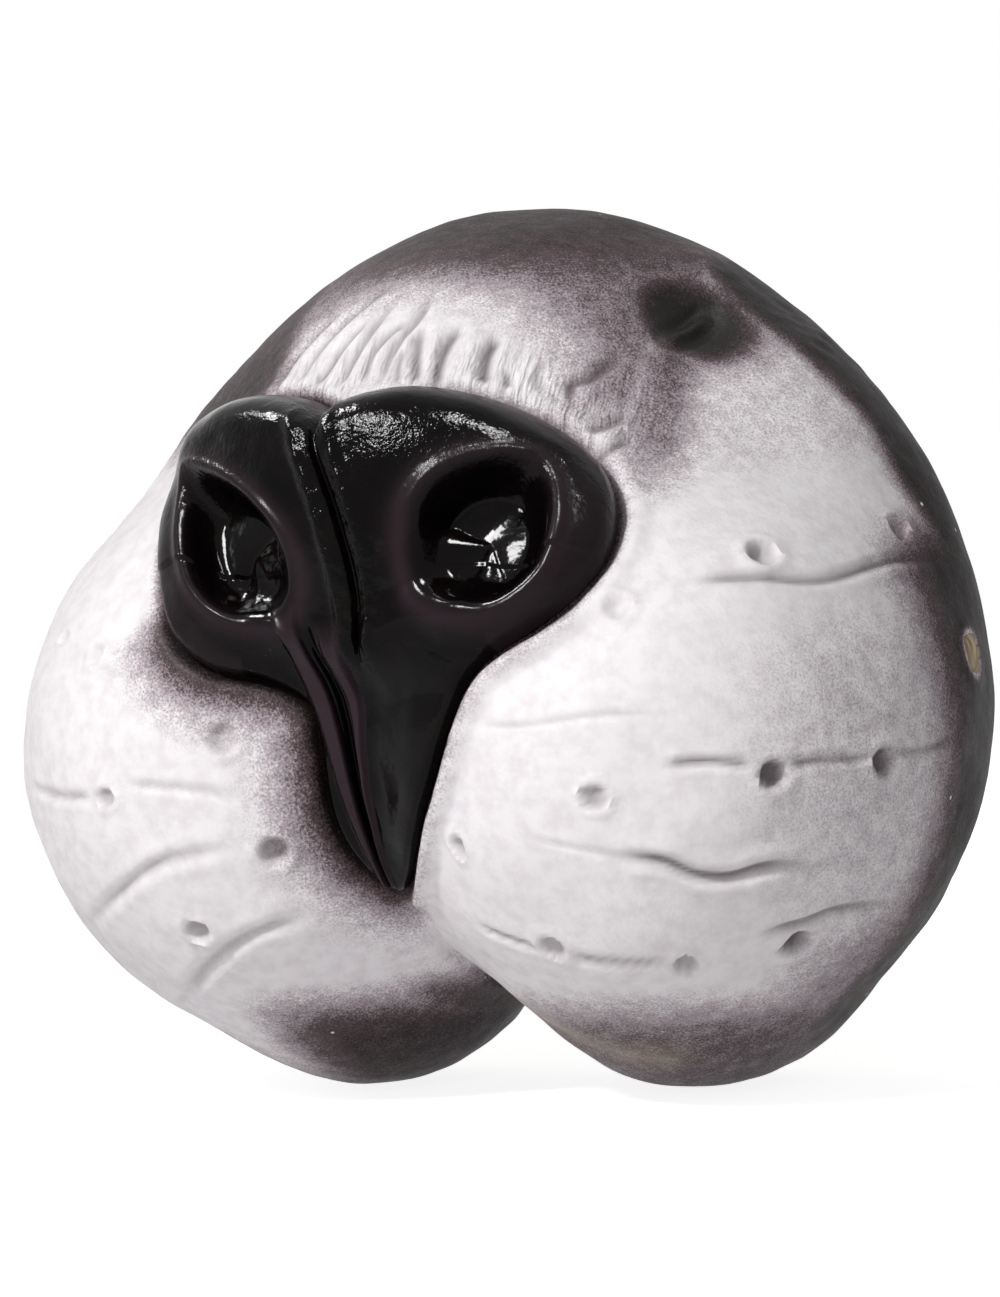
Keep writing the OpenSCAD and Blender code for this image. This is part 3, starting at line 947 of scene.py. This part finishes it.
def nose_rise(across, up, share, front, nose):
    """Height of the nose over its seat, with its nostrils, grooves and folds, in millimetres."""
    lift, low, edge = nose.lift / MM, nose.philtrum_lift / MM, nose.edge / MM
    body = low + (lift - low) * eased((up + 13) / 10) - edge
    roundness = np.where(up > 4, 5.0, 3.6)
    dome = np.sqrt(np.maximum(1 - share ** roundness, 0))
    # Along the top the lobes slope up over a shelf to a crest, then face forwards
    shelf = 1 - (1 - np.clip((1 - share) / 0.27, 0, 1)) ** 2.2
    dome += (shelf - dome) * eased((up - 10) / 9)
    rise = edge + body * dome
    # Their front stands steeper than the muzzle under it
    rise += 0.15 * np.maximum(up - 2, 0) * dome

    # Nostril wells: steep and deep at the top and outside, running out low beside the groove
    ring, heading = nostril_ring(across, up, nose)
    away = np.cos(heading - math.radians(222))
    gate = eased((away - 0.2) / 0.6)
    depth = nose.nostril_depth / MM * (1 - 0.6 * gate * np.clip(ring, 0, 1))
    rise -= depth * eased((1.0 - ring) / 0.42)
    rise += 0.55 * bump(ring - 1.05, 0.07) * (1 - gate)
    rise += 0.5 * bump(ring - 0.62, 0.08) * eased((np.cos(heading + math.radians(30)) - 0.2) / 0.5)
    # The wing below each nostril is tucked under
    rise -= 0.7 * bump(ring - 1.4, 0.16) * eased((np.cos(heading + math.radians(75)) - 0.3) / 0.5)

    # The middle groove with a bead along either side
    upper = eased((up + 8) / 5)
    rise -= 1.3 * bump(across, 0.42) * upper * dome
    rise += 0.7 * bump(np.abs(across) - 2.1, 1.0) * upper * eased((26 - up) / 6)

    # Two long folds run down the philtrum to its tip
    for line, height, width in ((FOLD_LEFT, 1.5, 2.9), (FOLD_RIGHT, 1.2, 2.3)):
        distance, along = line_distance(front, smooth_line(line, steps=8))
        half = width * (1 - 0.6 * along)
        rise += height * (1 - 0.4 * along) * eased((half - distance) / 1.1) * eased(along * 4)
    distance, along = line_distance(front, smooth_line(FOLD_GROOVE, steps=8))
    rise -= 1.2 * bump(distance, 0.5) * eased(along * 5) * (1 - 0.3 * along)
    return np.maximum(rise, 0.3)


def lay_on_nose(flat, cast, nose, reach=1.0, foot=None):
    """Where a square sheet lies once wrapped to the nose's outline and seated on the cast skin.

    reach draws it in from the outline, and foot cuts it off this far below the nose's middle.
    """
    share, turn = disc_share(flat)
    ring = nose_outline()
    at = (0.25 - turn / (2 * math.pi)) % 1 * len(ring)
    low = np.floor(at).astype(int) % len(ring)
    part = (at - np.floor(at))[:, None]
    outline = ring[low] * (1 - part) + ring[(low + 1) % len(ring)] * part
    if foot:
        reach = np.minimum(reach, foot / np.maximum(foot, -outline[:, 1]))
    share = share * reach
    across, up = (outline * share[:, None]).T
    seat = cast.seat(across + lean(up), up + nose.middle / MM)
    return across, up, share, seat, cast.normals(seat)


class SNOUT_OT_nose(bpy.types.Operator):
    """Sculpt the nose: two lobes with nostril wells, the middle groove and the folded philtrum"""
    bl_idname = "snout.nose"
    bl_label = "Nose"

    def execute(self, context):
        nose = context.scene.snout_nose
        cast = muzzle_cast(context.scene.snout_muzzle)
        leather, flat = two_sheets("nose_leather", nose.cells, nose.cells // 4)
        across, up, share, seat, normals = lay_on_nose(flat[0], cast, nose)
        rise = nose_rise(across, up, share, seat[:, [0, 2]], nose)
        rounded = np.sqrt(np.clip(1 - (np.maximum(share - 0.965, 0) / 0.035) ** 2, 0, 1))
        rise = rise * (0.25 + 0.75 * rounded)
        rise += 0.14 * lumps(seat, 4.0, seed=7) * (1 - share ** 8)
        ringed, _ = nostril_ring(across, up, nose)
        beads = bump(np.abs(across) - 2.0, 1.3) * eased((up + 10) / 6)
        floors = bump(ringed - 0.5, 0.3) * eased((5 - up) / 5) * np.where(across < 0, 1.0, 0.6)
        crest = bump(up - 21 + 0.008 * across ** 2, 3.5)
        beads = np.maximum.reduce([beads, floors, 0.7 * crest])
        rise += 0.055 * beads * lumps(seat, 1.0, seed=8) * (1 - share ** 8)
        ridge = bump(np.abs(across) - 2.0, 1.2) * eased((up + 10) / 6)
        rise += 0.1 * ridge * lumps(seat, 0.8, seed=10)
        outside = seat + normals * (0.3 + rise)[:, None]

        # Pebbled where light breaks up: crests of the lobes, the beads and the wells' floors
        pebble = np.maximum.reduce([
            bump(up - 20 + 0.008 * across ** 2, 5.0),
            bump(np.abs(across) - 2.0, 1.8) * eased((up + 12) / 6),
            floors,
            0.8 * bump(share - 0.97, 0.05) * eased((6 - up) / 6) * (across < 0),
            np.full(len(across), 0.1),
        ])
        # Duller varnish on the folds, nostril rims, top shelf and outer rim; the finish also lifts the
        # colour there as a painted sheen
        dull_and_sheen = np.zeros(len(across))
        for line in (FOLD_LEFT, FOLD_RIGHT):
            distance, along = line_distance(seat[:, [0, 2]], smooth_line(line, steps=8))
            on_fold = eased((2.6 * (1 - 0.6 * along) - distance) / 0.8)
            dull_and_sheen = np.maximum(dull_and_sheen, 0.8 * on_fold * eased(along * 4))
        dull_and_sheen = np.maximum(dull_and_sheen, 0.5 * bump(ringed - 1.1, 0.14))
        dull_and_sheen = np.maximum(dull_and_sheen, 0.7 * eased((share - 0.86) / 0.08) * eased((up - 12) / 8))
        dull_and_sheen = np.maximum(dull_and_sheen, 0.3 * eased((share - 0.82) / 0.12) * (np.abs(across) > 20))
        glaze = np.stack([pebble, dull_and_sheen], axis=1)

        across, up, share, seat, normals = lay_on_nose(flat[1], cast, nose)
        rise = nose_rise(across, up, share, seat[:, [0, 2]], nose)
        rise = 0.3 + np.maximum(rise - nose.leather / MM, 0) * (share < 0.999)
        wrap_wall(leather, [outside, seat + normals * rise[:, None]])
        paint_layer(leather, "glaze", np.vstack([glaze, np.zeros((len(seat), 2))]))
        settle(leather, varnished_nose(context.scene.snout_finish), "nose_pad")
        return {"FINISHED"}


class SNOUT_OT_patches(bpy.types.Operator):
    """Lay the gauze patches round the strap holes, inside the cheeks"""
    bl_idname = "snout.patches"
    bl_label = "Strap patches"

    def execute(self, context):
        muzzle = context.scene.snout_muzzle
        patch = context.scene.snout_patch
        cast = muzzle_cast(muzzle)
        material = latexed_cloth(context.scene.snout_finish)
        for side, name in ((-1, "left"), (1, "right")):
            under = (muzzle.wall + patch.gap) / MM
            gauze, flats = two_sheets(f"strap_gauze_{name}", 44, 44)
            layers = []
            for flat, depth in zip(flats, (under, under + patch.thickness / MM)):
                share, turn = disc_share(flat)
                # Scissors leave the edge a little uneven
                cut = 1 + 0.035 * np.sin(5 * turn + side) + 0.02 * np.sin(11 * turn) - 0.03
                radius = patch.diameter / MM / 2 * share * cut
                start = np.stack([
                    np.full(len(share), side * 30.0),
                    radius * np.cos(turn) - muzzle.hole_from_rim / MM,
                    radius * np.sin(turn) - muzzle.hole_drop / MM,
                ], axis=1)
                wall = cast.outward(start, np.tile([float(side), 0, 0], (len(share), 1)))
                frayed = depth + 0.08 * lumps(wall, 1.6, seed=9) * (depth > under)
                layers.append(wall - cast.normals(wall) * np.reshape(frayed, (-1, 1)))
            wrap_wall(gauze, layers)
            punch(gauze, side, muzzle)
            settle(gauze, material, f"strap_patch_{name}")
        return {"FINISHED"}


class SNOUT_OT_core(bpy.types.Operator):
    """Fill the hollow nose with its foam core"""
    bl_idname = "snout.core"
    bl_label = "Nose core"

    def execute(self, context):
        nose = context.scene.snout_nose
        cast = muzzle_cast(context.scene.snout_muzzle)
        core, flats = two_sheets("nose_foam", nose.cells // 3, nose.cells // 3)
        layers = []
        for flat, thick in zip(flats, (True, False)):
            across, up, share, seat, normals = lay_on_nose(flat, cast, nose, reach=0.93, foot=9.0)
            height = 0.3 + 0 * share
            if thick:
                rise = nose_rise(across, up, share, seat[:, [0, 2]], nose)
                height += np.maximum(rise - (nose.leather + nose.core_gap) / MM, 0.15)
                height += 0.05 * lumps(seat, 1.2, seed=5)
            layers.append(seat + normals * height[:, None])
        wrap_wall(core, layers)
        settle(core, foam(context.scene.snout_finish), "nose_core")
        return {"FINISHED"}


class SNOUT_OT_stage(bpy.types.Operator):
    """Set up the pale floor, the soft lights and the camera"""
    bl_idname = "snout.stage"
    bl_label = "Stage"

    def execute(self, context):
        stage = context.scene.snout_stage
        scene = context.scene
        scene.view_settings.view_transform = "Standard"
        self.floor()
        self.sky(stage)
        aim = self.camera(scene, stage)
        self.lamp("key light", aim, (-0.17, -0.78, 0.56), 0.10, stage.key)
        # These only make the glints in the varnish: on both crests and in the nostrils
        for name, place, share in (("left glint", (-0.20, -0.70, 0.66), 1.0),
                                   ("right glint", (0.32, -0.34, 0.86), 1.0),
                                   ("well glint", (-0.57, -0.05, 0.78), 0.7)):
            self.lamp(name, aim, place, 0.20, stage.glints * share).visible_diffuse = False
        # The fill only lightens shadows: varnish doesn't mirror it
        fill = self.lamp("fill light", aim, (0.30, -1.00, 0.12), 0.60, stage.fill)
        fill.visible_glossy = False
        return {"FINISHED"}

    def floor(self):
        deselect()
        low = CAD_BOX[0][2] - 1 * MM
        bpy.ops.mesh.primitive_grid_add(x_subdivisions=8, y_subdivisions=8, size=30, location=(0, 0, low))
        floor = bpy.context.object
        floor.name = "floor"
        bpy.ops.object.transform_apply(location=True, rotation=True, scale=True)
        # Background paper: rolled out matt, it keeps the mask's soft shadow and reads as white
        material = bpy.data.materials.new("matt white paper")
        material.use_nodes = True
        tree = material.node_tree
        tree.nodes.clear()
        output = node(tree, "ShaderNodeOutputMaterial")
        paper = node(tree, "ShaderNodeBsdfDiffuse", {"Color": (0.8, 0.8, 0.8, 1)})
        seen = seen_directly(tree)
        glow = node(tree, "ShaderNodeEmission", {"Color": (1, 1, 1, 1)})
        tree.links.new(math_node(tree, "MULTIPLY", seen, 0.85), glow.inputs["Strength"])
        both = node(tree, "ShaderNodeAddShader")
        tree.links.new(paper.outputs[0], both.inputs[0])
        tree.links.new(glow.outputs[0], both.inputs[1])
        tree.links.new(both.outputs[0], output.inputs["Surface"])
        floor.data.materials.append(material)

    def sky(self, stage):
        world = bpy.data.worlds.new("soft studio")
        bpy.context.scene.world = world
        world.use_nodes = True
        tree = world.node_tree
        tree.nodes.clear()
        output = node(tree, "ShaderNodeOutputWorld")
        seen = seen_directly(tree)
        strength = node(tree, "ShaderNodeMix", {"data_type": "FLOAT"})
        strength.inputs[2].default_value = stage.sky
        strength.inputs[3].default_value = 1.0
        tree.links.new(seen, strength.inputs[0])
        light = node(tree, "ShaderNodeBackground", {"Color": (1, 1, 1, 1)})
        tree.links.new(strength.outputs[0], light.inputs["Strength"])
        tree.links.new(light.outputs[0], output.inputs["Surface"])

    def camera(self, scene, stage):
        turn, rise, roll = stage.azimuth, stage.elevation, stage.roll
        across = Vector((math.cos(turn), math.sin(turn), 0))
        back = Vector((math.sin(turn) * math.cos(rise), -math.cos(turn) * math.cos(rise), math.sin(rise)))
        up = back.cross(across)
        right = across * math.cos(roll) - up * math.sin(roll)
        above = across * math.sin(roll) + up * math.cos(roll)
        aim = Vector((0, -45 * MM, 0)) + right * 7.7 * MM - above * 3.0 * MM
        data = bpy.data.cameras.new("view")
        data.sensor_fit = "HORIZONTAL"
        data.sensor_width = 36
        data.lens = stage.lens
        data.clip_start = 0.05
        data.clip_end = 50
        camera = bpy.data.objects.new("view", data)
        scene.collection.objects.link(camera)
        turned = Matrix((right, above, back)).transposed().to_4x4()
        camera.matrix_world = Matrix.Translation(aim + back * stage.distance) @ turned
        scene.camera = camera
        return aim

    def lamp(self, name, aim, place, size, power):
        data = bpy.data.lights.new(name, "AREA")
        data.shape = "SQUARE"
        data.size = size
        data.energy = power
        lamp = bpy.data.objects.new(name, data)
        bpy.context.scene.collection.objects.link(lamp)
        place = Vector(place)
        facing = (aim - place).to_track_quat("-Z", "Y").to_matrix().to_4x4()
        lamp.matrix_world = Matrix.Translation(place) @ facing
        return lamp


class SNOUT_PT_panel(bpy.types.Panel):
    """Lists the mask's pieces and their sizes"""
    bl_idname = "SNOUT_PT_panel"
    bl_label = "Snout mask"
    bl_space_type = "VIEW_3D"
    bl_region_type = "UI"
    bl_category = "Snout"

    def draw(self, context):
        layout = self.layout
        for operator in OPERATORS:
            layout.operator(operator.bl_idname)
        for name in GROUPS:
            group = getattr(context.scene, name)
            box = layout.box()
            for setting in group.__annotations__:
                box.prop(group, setting)


GROUPS = {
    "snout_muzzle": MuzzleSettings,
    "snout_nose": NoseSettings,
    "snout_patch": PatchSettings,
    "snout_finish": FinishSettings,
    "snout_stage": StageSettings,
}
OPERATORS = (SNOUT_OT_muzzle, SNOUT_OT_nose, SNOUT_OT_patches, SNOUT_OT_core, SNOUT_OT_stage)
CLASSES = (*GROUPS.values(), *OPERATORS, SNOUT_PT_panel)


def register():
    for cls in CLASSES:
        bpy.utils.register_class(cls)
    for name, group in GROUPS.items():
        setattr(bpy.types.Scene, name, PointerProperty(type=group))


def unregister():
    for name in GROUPS:
        delattr(bpy.types.Scene, name)
    for cls in reversed(CLASSES):
        bpy.utils.unregister_class(cls)


def main():
    register()
    bpy.ops.snout.stage()
    bpy.ops.snout.muzzle()
    bpy.ops.snout.nose()
    bpy.ops.snout.patches()
    bpy.ops.snout.core()


if __name__ == "__main__":
    main()
